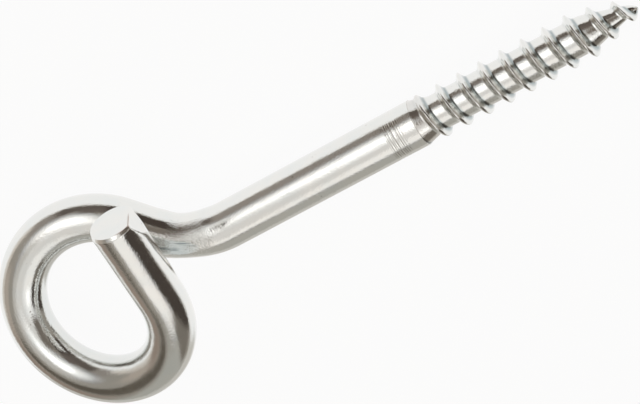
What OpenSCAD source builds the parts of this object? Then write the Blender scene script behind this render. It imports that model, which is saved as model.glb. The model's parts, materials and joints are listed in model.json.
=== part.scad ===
// Screw hook: one piece of bright zinc-plated round wire. A coarse wood-screw
// thread with a gimlet point is rolled on one end. The other end is kinked
// sideways, curled into an open eye and cut off square, and its straight tail
// crosses over the neck with a gap that a rope or a ring can pass.
// Lengths are in millimetres. The shank lies along X, its shoulder at X = 0
// and the thread towards +X. The hook lies on its side: the kink turns it
// towards +Y and the eye climbs towards +Z.

/* [Wire] */
// Diameter of the round wire
wire_d = 10; // [8:0.5:12]
// Length of the plain shank, from the thread's shoulder to the kink
shank_len = 44.5; // [25:0.5:90]

/* [Kink and neck] */
// Angle by which the kink turns the wire aside
kink_angle = 54; // [40:1:65]
// Radius on the inside of the kink's bend
kink_in_r = 13.5; // [8:0.5:25]
// Straight neck from the kink to the eye
neck_len = 5; // [2:0.5:15]

/* [Eye] */
// Angle that the eye turns through, from the neck to the tail
eye_turn = 310; // [280:5:330]
// Diameter of the eye's hole where the curl starts
eye_d_start = 19.5; // [16:0.5:30]
// Diameter of the eye's hole where the curl ends
eye_d_end = 29; // [20:0.5:36]
// Angle at which the curl climbs out of its own plane
eye_climb = 11.5; // [9:0.1:15]
// Length of the straight tail past the eye
tail_len = 19.5; // [10:0.5:30]
// Depth of the sheared facet beside the cut end's face
facet_depth = 1.4; // [0.5:0.1:2.5]
// Length of that facet along the tail
facet_len = 4.5; // [2:0.5:8]
// Angle of the facet about the wire, from the side that the eye bends to
facet_at = 190; // [0:5:355]

/* [Thread] */
// Length from the shoulder to the tip of the point
thread_len = 47.9; // [30:0.1:80]
// Distance from one crest to the next
pitch = 4.7; // [3.5:0.1:6]
// Height of the crests above the surface of the wire
crest_rise = 0.15; // [0:0.05:0.5]
// Depth of the core below the surface of the wire
core_depth = 1.25; // [0.8:0.05:1.8]
// Width of the ridge where it leaves the core
ridge_base = 1.9; // [1.2:0.1:2.4]
// Width of the land on top of the ridge
crest_land = 0.4; // [0.2:0.05:0.8]
// Angle about the shank, from +Y towards +Z, where the ridge leaves the shank
ridge_from = -170; // [-180:1:180]
// Length of the cone from the shank down to the core
shoulder_len = 3.9; // [2:0.1:8]
// Length of the point, from the core's virtual corner to the tip
point_len = 10.8; // [8:0.1:20]
// Length on each side of that corner over which it is rounded
point_blend = 2.3; // [1:0.1:4]
// Radius of the blunt tip
tip_r = 0.8; // [0.5:0.05:1.5]

/* [Facets] */
// Facets around the bent wire
wire_sides = 36; // [24:4:48]
// Short bends that make up the kink
kink_steps = 8; // [6:1:12]
// Short bends that make up the eye
eye_steps = 40; // [24:1:48]
// Facets in one turn of the thread's ridge
turn_steps = 36; // [24:4:48]
// Strips across the core between two turns of the ridge
core_strips = 3; // [1:1:4]

/* [Hidden] */
$fn = 96;
zinc = "#c9ccca";
wire_r = wire_d / 2;
core_r = wire_r - core_depth;
crest_r = wire_r + crest_rise;
kink_r = kink_in_r + wire_r;
// Small step: both skins start inside the shank, this much thinner than it
lap = 0.05;
// Length before the tip over which the ridge dies away
ridge_fade = 2 * tip_r;
point_x = thread_len - point_len;
point_angle = atan((core_r - tip_r) / (point_len - tip_r));
blend_r = point_blend / tan(point_angle / 2);

// Radius of the core at a distance x past the shoulder: a cone, a plain
// length, an arc, then the cone of the point and its blunt round tip.
function core_at(x) =
    x < 0 ? wire_r - lap
    : x < shoulder_len ? wire_r - lap - (core_depth - lap) * x / shoulder_len
    : x < point_x - point_blend ? core_r
    : x < point_x + point_blend * cos(point_angle)
        ? core_r - blend_r + sqrt(pow(blend_r, 2) - pow(x - point_x + point_blend, 2))
    : x < thread_len - tip_r ? core_r - (x - point_x) * tan(point_angle)
    : sqrt(max(0, pow(tip_r, 2) - pow(x - thread_len + tip_r, 2)));

// Height of the ridge above the core there. It stands clear of the shank
// within a third of a turn, follows the point down and dies away at the tip.
function ridge_at(x) =
    let (
        height = x < shoulder_len ? crest_r - core_at(x) : crest_r - core_r,
        rise = max(0, min(1, 3 * x / pitch)),
        fall = max(0, min(1, (thread_len - x) / ridge_fade)))
    height * min(rise, fall);

// The last places along the thread are drawn together, short of the tip.
function short_of_tip(x) =
    let (room = 1.5 * tip_r, past = x - thread_len + room)
    past < 0 ? x : thread_len - room * room / (room + past);

// Points across one turn of the thread where its ridge's middle is at x and
// the angle about the shank is a: the ridge's section, then the core's strips.
function turn_section(x, a) =
    let (
        gap = (pitch - ridge_base) / core_strips,
        places = concat(
            [x - ridge_base / 2, x - crest_land / 2, x + crest_land / 2],
            [for (j = [0:core_strips - 1]) x + ridge_base / 2 + j * gap]))
    [for (j = [0:len(places) - 1])
        let (
            at = short_of_tip(places[j]),
            on_crest = j == 1 || j == 2,
            radius = core_at(at) + (on_crest ? ridge_at(places[j]) : 0))
        [at, radius * cos(a), radius * sin(a)]];

// The threaded end: one skin wound along a right-handed helix, from inside
// the shank to the tip, closed by a fan of triangles at each end.
module threaded_end() {
    row = core_strips + 3;
    start = -pitch - ridge_base / 2 - lap;
    stop = thread_len;
    steps = floor((stop - start) / pitch * turn_steps);
    sections = [for (i = [0:steps])
        let (x = start + pitch * i / turn_steps)
        turn_section(x, ridge_from + 360 * x / pitch)];
    points = concat([for (s = sections) each s], [[start - ridge_base, 0, 0], [thread_len, 0, 0]]);
    foot = row * (steps + 1);
    tip = foot + 1;
    across = [for (i = [0:steps - 1], j = [0:row - 2])
        let (a = row * i + j, b = a + row)
        each [[a, a + 1, b + 1], [a, b + 1, b]]];
    between = [for (i = [0:steps - 1 - turn_steps])
        let (a = row * i + row - 1, c = row * (i + turn_steps))
        each [[a, c, c + row], [a, c + row, a + row]]];
    foot_fan = concat(
        [for (i = [0:turn_steps - 1]) [foot, row * i, row * (i + 1)]],
        [for (j = [0:row - 2]) [foot, j + 1, j]],
        [[foot, row * turn_steps, row - 1]]);
    tip_fan = concat(
        [for (i = [steps - turn_steps:steps - 1])
            let (a = row * i + row - 1) [tip, a + row, a]],
        [for (j = [0:row - 2])
            let (a = row * steps + j) [tip, a, a + 1]],
        [[tip, row * (steps - turn_steps) + row - 1, row * steps]]);
    polyhedron(points, concat(across, between, foot_fan, tip_fan));
}

// The wire's path is walked as a bending machine makes it. A frame is the
// place of the wire's centre, its heading, the side it bends to and the roll
// so far. A move is a length fed, a roll about the wire and a bend.
function after_move(f, move) =
    let (
        feed = move[0], roll = move[1], angle = move[2], radius = move[3],
        place = f[0] + feed * f[1],
        side = cos(roll) * f[2] + sin(roll) * cross(f[1], f[2]))
    [place + radius * (sin(angle) * f[1] + (1 - cos(angle)) * side),
     cos(angle) * f[1] + sin(angle) * side,
     cos(angle) * side - sin(angle) * f[1],
     f[3] + roll];

// All frames along the moves, the starting one first.
function walk(start, moves) =
    [for (i = 0, f = start; i <= len(moves); f = i < len(moves) ? after_move(f, moves[i]) : f, i = i + 1) f];

// A circle of points about a frame. The roll is taken out again, so that the
// facets run straight along the wire.
function ring(f, radius) =
    [for (k = [0:wire_sides - 1])
        let (a = 360 * k / wire_sides - f[3])
        f[0] + radius * (cos(a) * f[2] + sin(a) * cross(f[1], f[2]))];

// The kink, then the eye, whose radius grows and which rolls a little at
// every step so that it climbs, then the tail.
kink_moves = [for (i = [1:kink_steps]) [0, 0, kink_angle / kink_steps, kink_r]];
eye_moves = [for (i = [0:eye_steps - 1])
    let (
        radius = wire_r + (eye_d_start + (eye_d_end - eye_d_start) * i / (eye_steps - 1)) / 2,
        angle = eye_turn / eye_steps)
    i == 0 ? [0, 180, angle, radius] : [0, angle * tan(eye_climb), angle, radius]];
shank_end = [[-shank_len, 0, 0], [-1, 0, 0], [0, 1, 0], 0];
bent_frames = walk(shank_end, concat(kink_moves, [[neck_len, 0, 0, 0]], eye_moves, [[tail_len, 0, 0, 0]]));

// A block whose lower face is the sheared facet, beside the cut end.
module facet_cutter() {
    f = bent_frames[len(bent_frames) - 1];
    up = cross(f[1], f[2]);
    multmatrix([[f[1][0], f[2][0], up[0], f[0][0]],
                [f[1][1], f[2][1], up[1], f[0][1]],
                [f[1][2], f[2][2], up[2], f[0][2]]])
        rotate([facet_at, 0, 0]) translate([-facet_len, wire_r, -wire_r])
            rotate([0, 0, -atan(facet_depth / facet_len)])
                cube([2 * facet_len + wire_d, wire_d, wire_d]);
}

// The wire past the shank: one skin through the rings, from inside the
// shank's end to the flat cut end of the tail.
module bent_end() {
    rooted = concat([ring([[-shank_len + 2, 0, 0], [-1, 0, 0], [0, 1, 0], 0], wire_r - lap),
                     ring([[-shank_len - lap, 0, 0], [-1, 0, 0], [0, 1, 0], 0], wire_r)],
                    [for (i = [1:len(bent_frames) - 1]) ring(bent_frames[i], wire_r)]);
    last = wire_sides * (len(rooted) - 1);
    sides = [for (i = [0:len(rooted) - 2], k = [0:wire_sides - 1])
        let (a = wire_sides * i + k, b = wire_sides * i + (k + 1) % wire_sides)
        each [[a, b + wire_sides, b], [a, a + wire_sides, b + wire_sides]]];
    polyhedron([for (r = rooted) each r], concat(
        sides,
        [[for (k = [0:wire_sides - 1]) k]],
        [[for (k = [wire_sides - 1:-1:0]) last + k]]));
}

// The plain shank, a true cylinder that the two skins start inside.
module shank() {
    translate([-shank_len, 0, 0]) rotate([0, 90, 0]) cylinder(h = shank_len, r = wire_r);
}

module screw_hook() color(zinc) {
    shank();
    threaded_end();
    difference() {
        bent_end();
        facet_cutter();
    }
}

screw_hook();
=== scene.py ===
import json
import math

import bpy
import numpy as np
from mathutils import Matrix, Vector


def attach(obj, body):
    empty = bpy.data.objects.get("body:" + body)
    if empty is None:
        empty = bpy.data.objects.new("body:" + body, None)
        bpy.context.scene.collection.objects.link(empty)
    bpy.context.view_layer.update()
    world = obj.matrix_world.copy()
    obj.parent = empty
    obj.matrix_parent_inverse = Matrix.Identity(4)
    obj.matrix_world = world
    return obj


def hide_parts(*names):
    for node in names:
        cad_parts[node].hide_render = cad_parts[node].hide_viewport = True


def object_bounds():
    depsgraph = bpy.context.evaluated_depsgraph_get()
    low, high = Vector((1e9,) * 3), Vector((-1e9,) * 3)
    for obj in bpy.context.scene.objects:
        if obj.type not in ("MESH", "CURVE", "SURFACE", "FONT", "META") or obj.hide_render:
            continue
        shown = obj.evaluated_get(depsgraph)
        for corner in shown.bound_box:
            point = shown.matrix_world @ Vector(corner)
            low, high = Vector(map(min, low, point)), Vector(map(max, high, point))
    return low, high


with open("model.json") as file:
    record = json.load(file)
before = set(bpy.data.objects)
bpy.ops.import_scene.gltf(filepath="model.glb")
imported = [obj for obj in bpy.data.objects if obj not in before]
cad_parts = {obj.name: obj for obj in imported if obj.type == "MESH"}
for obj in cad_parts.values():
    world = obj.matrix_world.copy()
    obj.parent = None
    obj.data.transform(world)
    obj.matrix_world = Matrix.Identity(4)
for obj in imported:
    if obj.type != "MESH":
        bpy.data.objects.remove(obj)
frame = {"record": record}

# Screw hook of bright zinc-plated wire, lying on its side on a white table
cad_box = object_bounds()
pin = next(m for m in frame["record"]["mounts"] if m["name"] == "shank")

# Sizes in millimetres and degrees, the same as in the part's source
WIRE_R = pin["dims"]["r_mm"]
SHANK_LEN = pin["dims"]["length_mm"]
KINK_ANGLE = 54
KINK_R = 18.5
NECK_LEN = 5
EYE_TURN = 310
EYE_STEPS = 40
EYE_R_START = 14.75
EYE_R_END = 19.5
EYE_CLIMB = 11.5
TAIL_LEN = 19.5
FACET_DEPTH = 1.4
FACET_LEN = 4.5
FACET_AT = 190
THREAD_LEN = 47.9
PITCH = 4.7
CREST_RISE = 0.15
CORE_DEPTH = 1.25
RIDGE_BASE = 1.9
CREST_LAND = 0.4
RIDGE_FROM = -170
SHOULDER_LEN = 3.9
POINT_LEN = 10.8
TIP_R = 0.8
# The plated skin lies this far inside the solid's corners
INSET = 0.05

# Fine rings that the rolling dies left on the shank: place and depth
RINGS = ((-3.0, 0.02), (-3.5, 0.035), (-3.95, 0.05), (-4.3, 0.025), (-4.85, 0.055), (-5.3, 0.03), (-5.65, 0.05),
         (-6.15, 0.035), (-6.5, 0.02))
RING_WIDTH = 0.12
# Edge of the shank at the shoulder, where the cone starts a little lower
EDGE_R = 0.06
CONE_DROP = 0.12

# Marks of the bending press: a flat on top of the kink, and sides squeezed in
PRESS_HEIGHT = 4.6
PRESS_FROM = 6.5
PRESS_TO = 21
SQUEEZE_IN = 0.5
SQUEEZE_OUT = 0.45
# Length of the wire from the kink's start to the tail
EYE_LEN = 115

# Cut end: the bevel that the shears rolled on its edge, and the angle about the wire where it is widest
BEVEL = 0.45
BEVEL_LEAST = 0.05
BEVEL_TILT = 60
BEVEL_AT = 80
SOFT_EDGE = 0.035

# Fineness of the meshes
WIRE_SIDES = 96
FINE_STEP = 0.5
KINK_STEP = 0.25
TURN_STEPS = 96
ACROSS_STEPS = 24


def linear(hex_colour):
    """An sRGB hex colour as linear red, green, blue and alpha."""
    parts = [int(hex_colour[i:i + 2], 16) / 255 for i in (1, 3, 5)]
    return tuple(c / 12.92 if c <= 0.04045 else ((c + 0.055) / 1.055) ** 2.4 for c in parts) + (1.0,)


def add(tree, kind, links={}, **settings):
    """A new node with its settings; each input gets a value, a socket or a node's first output."""
    made = tree.nodes.new(kind)
    for name, value in settings.items():
        setattr(made, name, value)
    for key, value in links.items():
        if isinstance(value, bpy.types.Node):
            value = value.outputs[0]
        if isinstance(value, bpy.types.NodeSocket):
            tree.links.new(value, made.inputs[key])
        else:
            made.inputs[key].default_value = value
    return made


# Bright zinc plate on drawn steel wire
def bright_zinc():
    """Electroplated zinc with a clear blue passivation: a pale mirror. Its crystals are drawn as a
    grain of a third of a millimetre, coarser than they are, so that it shows. The drawn wire's
    lines and the press's mark show through it. It is bluish where it is thick, at the mark and in the
    eye, and it has a few small pits. The thread's roots are painted darker and bluish as shade,
    and the shoulder browner as shade."""
    made = bpy.data.materials.new("bright_zinc_on_drawn_steel")
    made.use_nodes = True
    tree = made.node_tree
    tree.nodes.clear()
    object_at = add(tree, "ShaderNodeTexCoord").outputs["Object"]
    lie_at = add(tree, "ShaderNodeAttribute", attribute_name="straight").outputs["Vector"]
    blue_tint_and_root_shade = add(tree, "ShaderNodeAttribute", attribute_name="blue_tint_and_root_shade").outputs["Fac"]
    stain_and_shoulder_shade = add(tree, "ShaderNodeAttribute", attribute_name="stain_and_shoulder_shade").outputs["Fac"]
    pressed = add(tree, "ShaderNodeAttribute", attribute_name="pressed").outputs["Fac"]
    painted_root_shade = add(tree, "ShaderNodeAttribute", attribute_name="painted_root_shade").outputs["Fac"]
    scuffed = add(tree, "ShaderNodeAttribute", attribute_name="scuffed").outputs["Fac"]

    # Heights, each pattern's distance in metres
    waves = add(tree, "ShaderNodeTexNoise", {"Vector": object_at, "Scale": 330.0, "Detail": 0.0})
    drawn = add(tree, "ShaderNodeMapping", {"Vector": lie_at, "Scale": (1.6, 1.6, 0.06)})
    lines = add(tree, "ShaderNodeTexNoise", {"Vector": drawn, "Scale": 1.0, "Detail": 1.0})
    scored = add(tree, "ShaderNodeMapping", {"Vector": lie_at, "Scale": (1.0, 1.0, 0.12)})
    scores = add(tree, "ShaderNodeTexNoise", {"Vector": scored, "Scale": 1.0, "Detail": 4.0, "Roughness": 0.65})
    score_depth = add(tree, "ShaderNodeMath", {0: pressed, 1: 0.0001}, operation="MULTIPLY")
    grain = add(tree, "ShaderNodeTexNoise", {"Vector": object_at, "Scale": 3600.0, "Detail": 1.0})
    rougher = add(tree, "ShaderNodeTexNoise", {"Vector": object_at, "Scale": 110.0, "Detail": 1.0})
    grain_depth = add(tree, "ShaderNodeMapRange", {
        "Value": rougher, "From Min": 0.4, "From Max": 0.6, "To Min": 0.00002, "To Max": 0.000032})
    grain_depth = add(tree, "ShaderNodeMath", {0: scuffed, 1: 0.00007, 2: grain_depth}, operation="MULTIPLY_ADD")
    soft = add(tree, "ShaderNodeBump", {"Height": waves, "Strength": 1.0, "Distance": 0.00003})
    soft = add(tree, "ShaderNodeBump", {"Height": lines, "Normal": soft, "Strength": 1.0, "Distance": 0.000006})
    soft = add(tree, "ShaderNodeBump", {"Height": scores, "Normal": soft, "Strength": 1.0, "Distance": score_depth})
    fine = add(tree, "ShaderNodeBump", {"Height": grain, "Normal": soft, "Strength": 1.0, "Distance": grain_depth})

    # Colour: cloudy, bluish patches, brown stains and dark pits, with painted shade in the thread's roots and on the
    # shoulder
    cloud = add(tree, "ShaderNodeTexNoise", {"Vector": object_at, "Scale": 260.0, "Detail": 3.0})
    specks = add(tree, "ShaderNodeTexNoise", {"Vector": object_at, "Scale": 900.0, "Detail": 1.0})
    pits = add(tree, "ShaderNodeMapRange", {"Value": specks, "From Min": 0.78, "From Max": 0.84})
    scored_dark = add(tree, "ShaderNodeMapRange", {"Value": scores, "From Min": 0.52, "From Max": 0.62})
    scored_dark = add(tree, "ShaderNodeMath", {0: scored_dark, 1: pressed}, operation="MULTIPLY")
    colour = linear("#eeebe6")
    # Painted shade: the roots' dark share and bluish share, and the shoulder's part of the brown share; the bluish
    # share is a real tint at the mark and in the eye
    for share, other in ((cloud, "#e4e7e6"), (blue_tint_and_root_shade, "#b2bfc2"), (painted_root_shade, "#6f7a7b"), (scored_dark, "#8a9496"),
                         (stain_and_shoulder_shade, "#9c8577"), (pits, "#a59c97")):
        mixed = add(tree, "ShaderNodeMix", {"Factor": share}, data_type="RGBA")
        for key, value in (("A", colour), ("B", linear(other))):
            socket = next(i for i in mixed.inputs if i.name == key and i.type == "RGBA")
            if isinstance(value, bpy.types.NodeSocket):
                tree.links.new(value, socket)
            else:
                socket.default_value = value
        colour = next(o for o in mixed.outputs if o.type == "RGBA")
    rough = add(tree, "ShaderNodeMapRange", {
        "Value": cloud, "From Min": 0.3, "From Max": 0.7, "To Min": 0.03, "To Max": 0.06})
    rough = add(tree, "ShaderNodeMath", {0: pressed, 1: 0.07, 2: rough}, operation="MULTIPLY_ADD")
    shader = add(tree, "ShaderNodeBsdfPrincipled", {
        "Base Color": colour, "Metallic": 1.0, "Roughness": rough, "Normal": fine})
    add(tree, "ShaderNodeOutputMaterial", {"Surface": shader})
    return made


def grown(name, tree, start, inputs):
    """A plain mesh object of what a Geometry Nodes tree makes from a starting mesh."""
    seed = bpy.data.objects.new(name + "_start", start)
    bpy.context.scene.collection.objects.link(seed)
    modifier = seed.modifiers.new("grow", "NODES")
    modifier.node_group = tree
    for item in tree.interface.items_tree:
        if item.in_out == "INPUT" and item.name in inputs:
            modifier[item.identifier] = inputs[item.name]
    graph = bpy.context.evaluated_depsgraph_get()
    mesh = bpy.data.meshes.new_from_object(seed.evaluated_get(graph), preserve_all_data_layers=True, depsgraph=graph)
    made = bpy.data.objects.new(name, mesh)
    bpy.data.objects.remove(seed)
    bpy.context.scene.collection.objects.link(made)
    return made


def new_tree(name, sizes):
    """A Geometry Nodes tree with a geometry in and out, named sizes and a material."""
    tree = bpy.data.node_groups.new(name, "GeometryNodeTree")
    tree.interface.new_socket(name="Geometry", in_out="OUTPUT", socket_type="NodeSocketGeometry")
    tree.interface.new_socket(name="Geometry", in_out="INPUT", socket_type="NodeSocketGeometry")
    for size, kind in sizes.items():
        tree.interface.new_socket(name=size, in_out="INPUT", socket_type=kind)
    tree.interface.new_socket(name="Finish", in_out="INPUT", socket_type="NodeSocketMaterial")
    return tree


# The wire's path, walked as a bending machine makes it
def bent_path():
    """Places of the wire's centre from the shoulder to the cut end, and the frame at that end."""
    heading, side = np.array([-1.0, 0, 0]), np.array([0.0, 1, 0])
    steps = ([0, EDGE_R / 3, 2 * EDGE_R / 3, EDGE_R, 0.12, 0.25, 0.5, 1, 1.6, 2.2] + list(np.arange(2.6, 6.9, 0.06))
             + list(np.arange(8.0, SHANK_LEN - 0.5, 1.5)) + [SHANK_LEN])
    places = [np.array([-x, 0.0, 0]) for x in steps]
    moves = [(0, KINK_ANGLE, KINK_R, KINK_STEP), (0, NECK_LEN, None, KINK_STEP)]
    for i in range(EYE_STEPS):
        roll = 180 if i == 0 else EYE_TURN / EYE_STEPS * math.tan(math.radians(EYE_CLIMB))
        radius = EYE_R_START + (EYE_R_END - EYE_R_START) * i / (EYE_STEPS - 1)
        moves.append((roll, EYE_TURN / EYE_STEPS, radius, FINE_STEP))
    moves.append((0, TAIL_LEN, None, FINE_STEP))
    for roll, amount, radius, step in moves:
        roll, bend, place = math.radians(roll), math.radians(amount), places[-1]
        side = math.cos(roll) * side + math.sin(roll) * np.cross(heading, side)
        if radius is None:
            count = round(amount / step)
            places += [place + heading * amount * (k + 1) / count for k in range(count)]
            continue
        count = round(bend * radius / step)
        for k in range(count):
            a = bend * (k + 1) / count
            places.append(place + radius * (math.sin(a) * heading + (1 - math.cos(a)) * side))
        heading, side = (math.cos(bend) * heading + math.sin(bend) * side,
                         math.cos(bend) * side - math.sin(bend) * heading)
    return places, heading, side


# Plain wire: swept along its path, with the rolling dies' fine rings before the thread
def wire_mesh():
    """The path as a chain of points with the wire's radius at each, and the frame at the cut end."""
    places, heading, side = bent_path()
    end = places[-1]
    full = WIRE_R - INSET
    radii = []
    for x in (p[0] for p in places):
        rounded = EDGE_R - math.sqrt(max(0, EDGE_R ** 2 - max(0, x + EDGE_R) ** 2))
        rings = sum(deep * math.exp(-((x - at) / RING_WIDTH) ** 2) for at, deep in RINGS)
        radii.append(full - rounded - rings)

    # Closer rings near the cut end, then the cut face in rings that lie almost in one plane
    near = [k for k, p in enumerate(places) if np.linalg.norm(p - end) < 1.6]
    places, radii = places[:near[0]], radii[:near[0]]
    for back in np.arange(1.5, -0.01, -0.1):
        places.append(end - heading * back)
        radii.append(full)
    for k, r in enumerate(np.append(np.arange(full - 0.12, 0.1, -0.2), 0.04)):
        places.append(end + heading * 0.0002 * (k + 1))
        radii.append(r)
    mesh = bpy.data.meshes.new("wire_path")
    mesh.from_pydata([tuple(p) for p in places], [(i, i + 1) for i in range(len(places) - 1)], [])
    mesh.attributes.new("wire_radius", "FLOAT", "POINT").data.foreach_set("value", np.array(radii, np.float32))
    return mesh, end, heading, side


def wire_tree():
    """The wire as a round tube along a chain of points, with where each point lies on the straight wire."""
    tree = new_tree("swept_wire", {"Sides": "NodeSocketInt"})
    given = add(tree, "NodeGroupInput")
    chain = add(tree, "GeometryNodeMeshToCurve", {"Mesh": given.outputs["Geometry"]})
    length = add(tree, "GeometryNodeSplineParameter")
    chain = add(tree, "GeometryNodeStoreNamedAttribute", {
        "Geometry": chain, "Name": "along", "Value": length.outputs["Length"]}, data_type="FLOAT", domain="POINT")
    radius = add(tree, "GeometryNodeInputNamedAttribute", {"Name": "wire_radius"}, data_type="FLOAT")
    ring = add(tree, "GeometryNodeCurvePrimitiveCircle", {"Resolution": given.outputs["Sides"], "Radius": 1.0})
    tube = add(tree, "GeometryNodeCurveToMesh", {
        "Curve": chain, "Profile Curve": ring, "Scale": radius.outputs[0], "Fill Caps": True})
    along = add(tree, "GeometryNodeInputNamedAttribute", {"Name": "along"}, data_type="FLOAT")

    # The tube's vertices lie in order, ring after ring, so a vertex's number tells its angle about the wire
    number = add(tree, "GeometryNodeInputIndex")
    turned = add(tree, "ShaderNodeMath", {0: number, 1: given.outputs["Sides"]}, operation="DIVIDE")
    turned = add(tree, "ShaderNodeMath", {0: turned, 1: 2 * math.pi}, operation="MULTIPLY")
    across = [add(tree, "ShaderNodeMath", {0: turned}, operation=kind) for kind in ("COSINE", "SINE")]
    x, y = (add(tree, "ShaderNodeMath", {0: part, 1: WIRE_R}, operation="MULTIPLY") for part in across)
    straight = add(tree, "ShaderNodeCombineXYZ", {"X": x, "Y": y, "Z": along})
    tube = add(tree, "GeometryNodeStoreNamedAttribute", {"Geometry": tube, "Name": "straight", "Value": straight},
               data_type="FLOAT_VECTOR", domain="POINT")
    whole = add(tree, "GeometryNodeRealizeInstances", {"Geometry": tube})
    done = add(tree, "GeometryNodeSetMaterial", {"Geometry": whole, "Material": given.outputs["Finish"]})
    add(tree, "NodeGroupOutput", {"Geometry": done})
    return tree


def read_points(piece, name=None):
    """Each vertex's place, or a vector attribute of that name, as rows of an array."""
    data = piece.data.attributes[name or "position"].data
    rows = np.empty(3 * len(data), np.float32)
    data.foreach_get("vector", rows)
    return rows.reshape(-1, 3).astype(float)


def write_points(piece, rows):
    """Puts the vertices at these places."""
    piece.data.attributes["position"].data.foreach_set("vector", rows.astype(np.float32).ravel())


def write_share(piece, name, values):
    """Stores a share from 0 to 1 at each vertex."""
    piece.data.attributes.new(name, "FLOAT", "POINT").data.foreach_set("value", np.clip(values, 0, 1).astype(np.float32))


def ramp(values, low, high):
    """A smooth step from 0 at low to 1 at high."""
    t = np.clip((values - low) / (high - low), 0, 1)
    return t * t * (3 - 2 * t)


# Marks of the bending press at the kink
def press_kink(piece):
    """Squeezes the kink's inner and outer sides in, and flattens its top."""
    at, past = read_points(piece), read_points(piece, "straight")[:, 2] - SHANK_LEN
    from_axis = at[:, :2] - (-SHANK_LEN, KINK_R)
    away = np.linalg.norm(from_axis, axis=1)
    turned = np.degrees(np.arctan2(-from_axis[:, 0], -from_axis[:, 1]))
    here = (past > -2) & (past < PRESS_TO + 3)
    out = away - KINK_R
    inner = np.clip((turned - 14) / 16, 0, 1) * np.clip((45 - turned) / 10, 0, 1)
    outer = np.exp(-((turned - 29) / 14) ** 2)
    squeezed = np.where(out < 0, SQUEEZE_IN * inner * -out / WIRE_R, -SQUEEZE_OUT * outer * out / WIRE_R)
    at[:, :2] += np.where(here, squeezed / away, 0)[:, None] * from_axis
    share = ramp(past, PRESS_FROM - 1, PRESS_FROM + 4) * ramp(-past, -PRESS_TO, 4 - PRESS_TO)
    top = WIRE_R + (PRESS_HEIGHT - WIRE_R) * share
    marked = here & (at[:, 2] > top)
    at[:, 2] = np.where(marked, top, at[:, 2])
    write_points(piece, at)
    deep = np.where(marked, share, 0)
    write_share(piece, "pressed", deep)

    # The plate is crazed where the kink is sharpest, and bluish there and inside the eye
    write_share(piece, "scuffed", ramp(-abs(past - 9), -6, -3) * (at[:, 2] > 0) * (1 - deep))
    bent = ramp(past, 15, 30) * ramp(-past, -EYE_LEN - 15, -EYE_LEN)
    eye = at[bent > 0.9].mean(axis=0)
    inside = ramp(17.5 - np.linalg.norm(at[:, :2] - eye[:2], axis=1), -2, 2)
    write_share(piece, "blue_tint_and_root_shade", np.maximum(0.4 * deep, 0.12 * bent * inside))


def cut_back(at, beyond, normal):
    """Points moved back along the normal until none lies beyond, so that the cut has a soft edge."""
    kept = -SOFT_EDGE * np.logaddexp(0, -beyond / SOFT_EDGE)
    return at - (beyond - kept)[:, None] * normal


# Sheared end of the tail
def shear_end(piece, end, heading, side):
    """Bevels the cut end's edge, mostly on one side, and cuts the small facet beside its face."""
    whole = read_points(piece)
    near = np.linalg.norm(whole - end, axis=1) < 11
    at = whole[near]
    back = (end - at) @ heading
    across = at - end + back[:, None] * heading
    radius = np.linalg.norm(across, axis=1)
    angle = np.arctan2(across @ np.cross(heading, side), across @ side)
    turned = np.cos(angle - math.radians(BEVEL_AT))
    starts = WIRE_R - INSET - BEVEL_LEAST - (BEVEL - BEVEL_LEAST) * np.clip(turned, 0, 1) ** 0.7
    tilt = math.radians(BEVEL_TILT)
    bevelled = (radius - starts) * math.sin(tilt) - back * math.cos(tilt)
    outwards = across / np.maximum(radius, 1e-6)[:, None]
    at = cut_back(at, bevelled, math.cos(tilt) * heading + math.sin(tilt) * outwards)

    about, slope = math.radians(FACET_AT), math.atan(FACET_DEPTH / FACET_LEN)
    outwards = math.cos(about) * side + math.sin(about) * np.cross(heading, side)
    normal = math.sin(slope) * heading + math.cos(slope) * outwards
    faceted = (at - end + heading * FACET_LEN - outwards * WIRE_R) @ normal
    at = cut_back(at, faceted, normal)
    whole[near] = at
    write_points(piece, whole)

    # A thin line of painted shade at the shoulder's edge, and a brown line where the shears tore the lower part of the
    # face's edge
    low = ramp(across @ np.cross(outwards, heading), -1.5, 0.5)
    on_face = np.exp(-(back / 0.4) ** 2)
    face_line = np.exp(-(bevelled / 0.2) ** 2) * ramp(angle, math.radians(100), math.radians(125)) * (faceted < 0)
    facet_line = np.exp(-(faceted / 0.2) ** 2) * low
    # Painted shade on the wire's last sliver at the shoulder's edge
    stain_and_shoulder_shade = 0.2 * (whole[:, 0] > -EDGE_R)
    stain_and_shoulder_shade[near] = 0.8 * np.maximum(face_line, facet_line) * on_face
    write_share(piece, "stain_and_shoulder_shade", stain_and_shoulder_shade)


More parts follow.
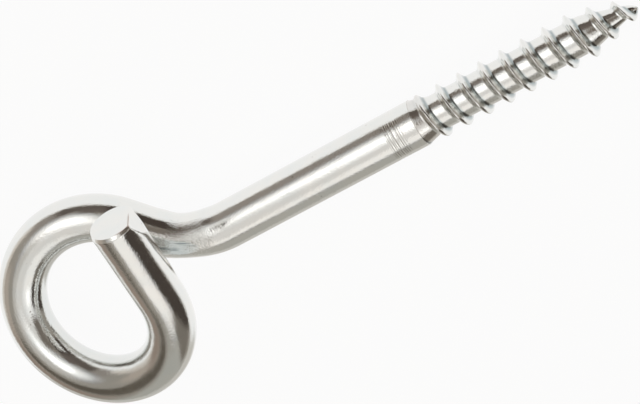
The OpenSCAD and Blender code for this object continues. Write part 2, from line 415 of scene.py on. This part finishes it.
def thread_tree():
    """The rolled thread as one skin wound along its helix: a strip as wide as the pitch,
    whose edges meet those of the next turn, with the ridge along its middle."""
    tree = new_tree("wound_thread", {name: "NodeSocketFloat" for name in (
        "Pitch", "Wire Radius", "Core Radius", "Crest Radius", "Shoulder Length", "Thread Length",
        "Point Start", "Tip Radius", "Ridge Base", "Crest Land", "Start Angle")} | {
        "Turn Steps": "NodeSocketInt", "Turns": "NodeSocketInt", "Across Steps": "NodeSocketInt"})
    given = add(tree, "NodeGroupInput").outputs
    long_steps = add(tree, "ShaderNodeMath", {0: given["Turn Steps"], 1: given["Turns"]}, operation="MULTIPLY")
    long_count = add(tree, "ShaderNodeMath", {0: long_steps, 1: 1.0}, operation="ADD")
    wide_count = add(tree, "ShaderNodeMath", {0: given["Across Steps"], 1: 1.0}, operation="ADD")
    strip = add(tree, "GeometryNodeMeshGrid", {
        "Size X": 1.0, "Size Y": 1.0, "Vertices X": long_count, "Vertices Y": wide_count})
    where = add(tree, "ShaderNodeSeparateXYZ", {0: add(tree, "GeometryNodeInputPosition")})

    # The ridge's middle runs from a turn before the foot to past the tip
    half_pitch = add(tree, "ShaderNodeMath", {0: given["Pitch"], 1: 0.5}, operation="MULTIPLY")
    start = add(tree, "ShaderNodeMath", {0: -2.1, 1: half_pitch}, operation="SUBTRACT")
    whole = add(tree, "ShaderNodeMath", {0: given["Pitch"], 1: given["Turns"]}, operation="MULTIPLY")
    part = add(tree, "ShaderNodeMath", {0: where.outputs["X"], 1: 0.5}, operation="ADD")
    middle = add(tree, "ShaderNodeMath", {0: part, 1: whole, 2: start}, operation="MULTIPLY_ADD")
    turned = add(tree, "ShaderNodeMath", {0: middle, 1: given["Pitch"]}, operation="DIVIDE")
    angle = add(tree, "ShaderNodeMath", {0: turned, 1: 2 * math.pi, 2: given["Start Angle"]}, operation="MULTIPLY_ADD")

    # Places across the strip, closer together on the ridge
    side = add(tree, "ShaderNodeMath", {0: where.outputs["Y"]}, operation="SIGN")
    out = add(tree, "ShaderNodeMath", {0: where.outputs["Y"]}, operation="ABSOLUTE")
    out = add(tree, "ShaderNodeMath", {0: out, 1: 2.0}, operation="MULTIPLY")
    out = add(tree, "ShaderNodeMath", {0: out, 1: 1.35}, operation="POWER")
    out = add(tree, "ShaderNodeMath", {0: out, 1: half_pitch}, operation="MULTIPLY")
    place = add(tree, "ShaderNodeMath", {0: out, 1: side, 2: middle}, operation="MULTIPLY_ADD")
    place = add(tree, "ShaderNodeMath", {0: place, 1: -2.0}, operation="MAXIMUM")
    place = add(tree, "ShaderNodeMath", {0: place, 1: given["Thread Length"]}, operation="MINIMUM")

    # The core: shoulder cone, plain length, cone of the point, round tip
    tip_start = add(tree, "ShaderNodeMath", {0: given["Thread Length"], 1: given["Tip Radius"]}, operation="SUBTRACT")
    cone = add(tree, "ShaderNodeMapRange", {
        "Value": place, "From Min": 0.0, "From Max": given["Shoulder Length"],
        "To Min": given["Wire Radius"], "To Max": given["Core Radius"]})
    point = add(tree, "ShaderNodeMapRange", {
        "Value": place, "From Min": given["Point Start"], "From Max": tip_start,
        "To Min": given["Core Radius"], "To Max": given["Tip Radius"]}, clamp=False)
    core = add(tree, "ShaderNodeMath", {0: cone, 1: point, 2: 0.5}, operation="SMOOTH_MIN")
    into_tip = add(tree, "ShaderNodeMapRange", {
        "Value": place, "From Min": tip_start, "From Max": given["Thread Length"]})
    into_tip = add(tree, "ShaderNodeMath", {0: into_tip, 1: 2.0}, operation="POWER")
    dome = add(tree, "ShaderNodeMath", {0: 1.0, 1: into_tip}, operation="SUBTRACT")
    dome = add(tree, "ShaderNodeMath", {0: dome, 1: 0.5}, operation="POWER")
    foot = add(tree, "ShaderNodeMapRange", {"Value": place, "From Min": -2.0, "From Max": -1.9})
    core = add(tree, "ShaderNodeMath", {0: core, 1: dome}, operation="MULTIPLY")
    core = add(tree, "ShaderNodeMath", {0: core, 1: foot}, operation="MULTIPLY")

    # The ridge: its height along the thread, and its section across
    height = add(tree, "ShaderNodeMath", {0: given["Crest Radius"], 1: cone}, operation="SUBTRACT")
    risen = add(tree, "ShaderNodeMath", {0: given["Pitch"], 1: 3.0}, operation="DIVIDE")
    rise = add(tree, "ShaderNodeMapRange", {"Value": place, "From Min": 0.0, "From Max": risen})
    fall_start = add(tree, "ShaderNodeMath", {0: tip_start, 1: given["Tip Radius"]}, operation="SUBTRACT")
    fall = add(tree, "ShaderNodeMapRange", {
        "Value": place, "From Min": fall_start, "From Max": given["Thread Length"], "To Min": 1.0, "To Max": 0.0})
    fall = add(tree, "ShaderNodeMath", {0: fall, 1: 0.5}, operation="POWER")
    height = add(tree, "ShaderNodeMath", {0: height, 1: rise}, operation="MULTIPLY")
    height = add(tree, "ShaderNodeMath", {0: height, 1: fall}, operation="MULTIPLY")
    base = add(tree, "ShaderNodeMath", {0: given["Ridge Base"], 1: 0.5}, operation="MULTIPLY")
    land = add(tree, "ShaderNodeMath", {0: given["Crest Land"], 1: 0.5}, operation="MULTIPLY")
    flank = add(tree, "ShaderNodeMapRange", {
        "Value": out, "From Min": land, "From Max": base, "To Min": 1.0, "To Max": 0.0}, clamp=False)
    flank = add(tree, "ShaderNodeMath", {0: flank, 1: 1.0, 2: 0.35}, operation="SMOOTH_MIN")
    flank = add(tree, "ShaderNodeMath", {0: flank, 1: 0.0, 2: 0.4}, operation="SMOOTH_MAX")
    radius = add(tree, "ShaderNodeMath", {0: height, 1: flank, 2: core}, operation="MULTIPLY_ADD")

    cosine = add(tree, "ShaderNodeMath", {0: angle}, operation="COSINE")
    sine = add(tree, "ShaderNodeMath", {0: angle}, operation="SINE")
    y = add(tree, "ShaderNodeMath", {0: radius, 1: cosine}, operation="MULTIPLY")
    z = add(tree, "ShaderNodeMath", {0: radius, 1: sine}, operation="MULTIPLY")

    # The point is a little off the axis, as dies leave it
    into_point = add(tree, "ShaderNodeMapRange", {
        "Value": place, "From Min": fall_start, "From Max": given["Thread Length"]})
    aside = add(tree, "ShaderNodeMath", {0: into_point, 1: -0.45, 2: y}, operation="MULTIPLY_ADD")
    spot = add(tree, "ShaderNodeCombineXYZ", {"X": place, "Y": aside, "Z": z})

    # The crest is slightly uneven
    uneven = add(tree, "ShaderNodeTexNoise", {"Vector": spot, "Scale": 0.9, "Detail": 2.0})
    uneven = add(tree, "ShaderNodeMath", {0: uneven, 1: 0.5}, operation="SUBTRACT")
    uneven = add(tree, "ShaderNodeMath", {0: uneven, 1: flank}, operation="MULTIPLY")
    uneven = add(tree, "ShaderNodeMath", {0: uneven, 1: 0.22}, operation="MULTIPLY")
    lean = add(tree, "ShaderNodeCombineXYZ", {"X": uneven, "Y": 0.0, "Z": 0.0})

    # Painted shade in the roots, darker and bluish, mostly on the ridge's side towards the point, and painted brownish
    # shade on the shoulder
    root = add(tree, "ShaderNodeMath", {0: out, 1: base}, operation="SUBTRACT")
    root = add(tree, "ShaderNodeMath", {0: root}, operation="ABSOLUTE")
    root = add(tree, "ShaderNodeMapRange", {"Value": root, "From Min": 0.03, "From Max": 0.48, "To Min": 1.0, "To Max": 0.0},
               interpolation_type="SMOOTHSTEP")
    one_side = add(tree, "ShaderNodeMapRange", {
        "Value": side, "From Min": -1.0, "From Max": 1.0, "To Min": 0.1, "To Max": 1.0})
    root = add(tree, "ShaderNodeMath", {0: root, 1: one_side}, operation="MULTIPLY")
    blue_tint_and_root_shade = add(tree, "ShaderNodeMath", {0: root, 1: 0.7}, operation="MULTIPLY")
    painted_root_shade = add(tree, "ShaderNodeMath", {0: root, 1: 0.45}, operation="MULTIPLY")
    # Painted brownish shade on the shoulder's cone
    shoulder = add(tree, "ShaderNodeMapRange", {
        "Value": place, "From Min": 1.5, "From Max": given["Shoulder Length"], "To Min": 0.15, "To Max": 0.0})
    for name, share in (("blue_tint_and_root_shade", blue_tint_and_root_shade), ("painted_root_shade", painted_root_shade), ("stain_and_shoulder_shade", shoulder)):
        strip = add(tree, "GeometryNodeStoreNamedAttribute", {"Geometry": strip, "Name": name, "Value": share},
                    data_type="FLOAT", domain="POINT")
    wound = add(tree, "GeometryNodeSetPosition", {"Geometry": strip, "Position": spot, "Offset": lean})
    wound = add(tree, "GeometryNodeMergeByDistance", {"Geometry": wound, "Distance": 0.0005})

    # The rolling dies leave their streaks around the thread
    at = add(tree, "ShaderNodeSeparateXYZ", {0: add(tree, "GeometryNodeInputPosition")})
    slow = add(tree, "ShaderNodeMath", {0: at.outputs["Y"], 1: 0.04}, operation="MULTIPLY")
    streak = add(tree, "ShaderNodeCombineXYZ", {"X": at.outputs["X"], "Y": slow, "Z": at.outputs["Z"]})
    wound = add(tree, "GeometryNodeStoreNamedAttribute", {"Geometry": wound, "Name": "straight", "Value": streak},
                data_type="FLOAT_VECTOR", domain="POINT")
    one = add(tree, "GeometryNodeRealizeInstances", {"Geometry": wound})
    done = add(tree, "GeometryNodeSetMaterial", {"Geometry": one, "Material": given["Finish"]})
    add(tree, "NodeGroupOutput", {"Geometry": done})
    return tree


zinc = bright_zinc()
path, tail_end, tail_heading, tail_side = wire_mesh()
wire = grown("wire", wire_tree(), path, {"Sides": WIRE_SIDES, "Finish": zinc})
press_kink(wire)
shear_end(wire, tail_end, tail_heading, tail_side)
turns = math.ceil((THREAD_LEN + 2.1 + PITCH) / PITCH)
thread = grown("thread", thread_tree(), bpy.data.meshes.new("nothing"), {
    "Pitch": PITCH, "Wire Radius": WIRE_R - INSET - CONE_DROP, "Core Radius": WIRE_R - CORE_DEPTH,
    "Crest Radius": WIRE_R + CREST_RISE - INSET, "Shoulder Length": SHOULDER_LEN,
    "Thread Length": THREAD_LEN - INSET, "Point Start": THREAD_LEN - POINT_LEN, "Tip Radius": TIP_R,
    "Ridge Base": RIDGE_BASE, "Crest Land": CREST_LAND, "Start Angle": math.radians(RIDGE_FROM),
    "Turn Steps": TURN_STEPS, "Turns": turns, "Across Steps": ACROSS_STEPS, "Finish": zinc})
for part in (wire, thread):
    part.data.transform(Matrix.Scale(0.001, 4))
    part.data.shade_smooth()
    part.data.set_sharp_from_angle(angle=math.radians(35))
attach(thread, "root")
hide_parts("screw_hook")
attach(wire, "root")
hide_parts("screw_hook")

# Camera, at the photograph's place
view = bpy.data.cameras.new("photo_view")
view.sensor_width = 36
view.lens = 2047 / 640 * 36
view.clip_start, view.clip_end = 0.01, 20
camera = bpy.data.objects.new("photo_view", view)
bpy.context.scene.collection.objects.link(camera)
right, up, back = (0.84790, -0.53016, 0.00237), (0.44932, 0.71623, -0.53397), (0.281, 0.454, 0.845)
turn = Matrix((right, up, back)).transposed().to_4x4()
camera.matrix_world = Matrix.Translation(Vector((0.089425, 0.181432, 0.347741))) @ turn
bpy.context.scene.camera = camera

# White table
floor_mesh = bpy.data.meshes.new("table")
half, low = 3.0, cad_box[0].z
floor_mesh.from_pydata([(-half, -half, low), (half, -half, low), (half, half, low), (-half, half, low)], [], [(0, 1, 2, 3)])
table = bpy.data.objects.new("table", floor_mesh)
bpy.context.scene.collection.objects.link(table)
table.visible_glossy = False
white = bpy.data.materials.new("white_table")
white.use_nodes = True
tree = white.node_tree
tree.nodes.clear()
path_kind = add(tree, "ShaderNodeLightPath")
seen = add(tree, "ShaderNodeMath", {0: path_kind.outputs["Is Camera Ray"], 1: path_kind.outputs["Is Glossy Ray"]}, operation="MAXIMUM")
seen = add(tree, "ShaderNodeMath", {0: seen, 1: path_kind.outputs["Is Transmission Ray"]}, operation="MAXIMUM")
share = add(tree, "ShaderNodeMath", {0: seen, 1: 0.93}, operation="MULTIPLY")
matt = add(tree, "ShaderNodeBsdfDiffuse", {"Color": linear("#f6f6f4")})
glow = add(tree, "ShaderNodeEmission", {"Color": (1, 1, 1, 1), "Strength": 1.0})
both = add(tree, "ShaderNodeMixShader", {0: share, 1: matt, 2: glow})
add(tree, "ShaderNodeOutputMaterial", {"Surface": both})
floor_mesh.materials.append(white)

# Softboxes: azimuth, elevation, width, brightness, and how far their glow spreads on the tent around them
softboxes = {"main_softbox": (107, 54, 0.46, 0.3, 1.0), "high_softbox": (108, 68, 0.26, 0.2, 1.0),
              "far_softbox": (306, 65, 0.26, 0.3, 1.9)}
glow_spread, glow_grey = (0, 4, 7, 11, 14.5, 20, 26), (1.1, 1.0, 0.9, 0.66, 0.48, 0.28, 0.0)
# Tent: the elevations between which its colour changes, white like the table below
tent_tones = ((-90, "#ffffff"), (-13, "#ffffff"), (-8, "#f0eeea"), (-4, "#9a948b"), (50, "#a09a91"), (62, "#e3e0dc"),
              (90, "#e4e1dd"))
# Cards that hang on the tent: azimuth, half width, lowest and highest elevation, softness of the edge, and colour
cards = {
    "pale_right": (152, 18, 46, 61, 4, "#c9c5bf"),
    "foot_of_main": (112, 14, -4, 21, 1.5, "#958e87"), "brown_below_main": (67, 34, -3, 20, 2, "#645c56"), "brown_right": (56, 26, 16, 34, 4, "#6c635d"),
    "dark_near": (34, 19, -3, 34, 3, "#49413c"), "grey_near": (352, 22, 13, 36, 4, "#bab4ac"),
    "dark_high_near": (20, 33, 38, 63, 4, "#7a726a"), "pale_foot": (155, 34, -7, 4, 3, "#d6cec5"),
    "warm_foot": (172, 20, 5, 24, 4, "#b4a99e"), "brown_left": (194, 18, 20, 42, 5, "#625b52"),
    "brown_foot_left": (196, 16, -4, 16, 4, "#988a7f"), "pale_left": (245, 24, -5, 38, 4, "#b1afa8"),
    "white_left": (260, 34, 44, 74, 4, "#fffcf8"), "grey_far": (279, 17, 3, 45, 4, "#7b756d"),
    "black_far": (310, 18, -4, 47, 3, "#4a433e"), "shadow_left": (242, 38, -34, -7, 5, "#cac7c1")}
columns, tent_away = 144, 1.5
levels = [-89, -60, -40] + list(range(-32, -12, 4)) + list(range(-12, 72, 2)) + [73, 76, 79, 82, 85, 88, 89.9]


def towards(azimuth, elevation):
    """The direction at that azimuth and elevation."""
    a, e = math.radians(azimuth), math.radians(elevation)
    return Vector((math.cos(e) * math.cos(a), math.cos(e) * math.sin(a), math.sin(e)))


def tent_colour(azimuth, elevation):
    """The tent's colour there: its own, the softboxes' glow on it, then the cards."""
    tones = np.array([linear(colour)[:3] for _, colour in tent_tones])
    colour = np.array([np.interp(elevation, [level for level, _ in tent_tones], tones[:, k]) for k in range(3)])
    for at, high, width, _, spread in softboxes.values():
        off = math.degrees(towards(azimuth, elevation).angle(towards(at, high)) - math.atan(width / 2))
        glow = np.interp(off / spread, glow_spread, glow_grey)
        colour = np.maximum(colour, glow * np.array((1, 0.985, 0.965)))
    for at, half, low, high, soft, card in cards.values():
        aside = abs((azimuth - at + 180) % 360 - 180)
        share = (ramp(half - aside, -soft, soft) * ramp(elevation - low, -soft, soft)
                 * ramp(high - elevation, -soft, soft))
        colour += share * (np.array(linear(card)[:3]) - colour)
    return (*colour, 1)


# Tent all round and above, seen only in reflections: a glowing sheet standing for paper and cloth, with the softboxes'
# glow and a table shadow painted on it
spots = [(360 * k / columns, level) for k in range(columns) for level in levels]
n = len(levels)
faces = [(n * k + j, n * k + j + 1, n * ((k + 1) % columns) + j + 1, n * ((k + 1) % columns) + j)
         for k in range(columns) for j in range(n - 1)]
tent_mesh = bpy.data.meshes.new("tent")
tent_mesh.from_pydata([towards(*spot) * tent_away for spot in spots], [], faces)
colours = np.array([tent_colour(*spot) for spot in spots], np.float32)
tent_mesh.attributes.new("tone", "FLOAT_COLOR", "POINT").data.foreach_set("color", colours.ravel())
tent_mesh.shade_smooth()
tent = bpy.data.objects.new("tent", tent_mesh)
bpy.context.scene.collection.objects.link(tent)
tent.visible_camera = False
tent_glow = bpy.data.materials.new("glowing_tent_sheet")
tent_glow.use_nodes = True
tree = tent_glow.node_tree
tree.nodes.clear()
tone = add(tree, "ShaderNodeAttribute", attribute_name="tone")
add(tree, "ShaderNodeOutputMaterial", {"Surface": add(tree, "ShaderNodeEmission", {
    "Color": tone.outputs["Color"], "Strength": 1.0})})
tent_mesh.materials.append(tent_glow)

# Softboxes
for name, (azimuth, elevation, width, strength, _) in softboxes.items():
    away = towards(azimuth, elevation)
    lamp = bpy.data.lights.new(name, "AREA")
    lamp.shape, lamp.size, lamp.energy = "DISK", width, strength * math.pi * width ** 2
    holder = bpy.data.objects.new(name, lamp)
    bpy.context.scene.collection.objects.link(holder)
    holder.matrix_world = Matrix.Translation(away) @ away.to_track_quat("Z", "Y").to_matrix().to_4x4()

# Soft white room
world = bpy.data.worlds.new("soft_room")
bpy.context.scene.world = world
world.use_nodes = True
world.node_tree.nodes.clear()
sky = add(world.node_tree, "ShaderNodeBackground", {"Color": (1, 1, 1, 1), "Strength": 1.0})
add(world.node_tree, "ShaderNodeOutputWorld", {"Surface": sky})

bpy.context.scene.view_settings.view_transform = "Standard"
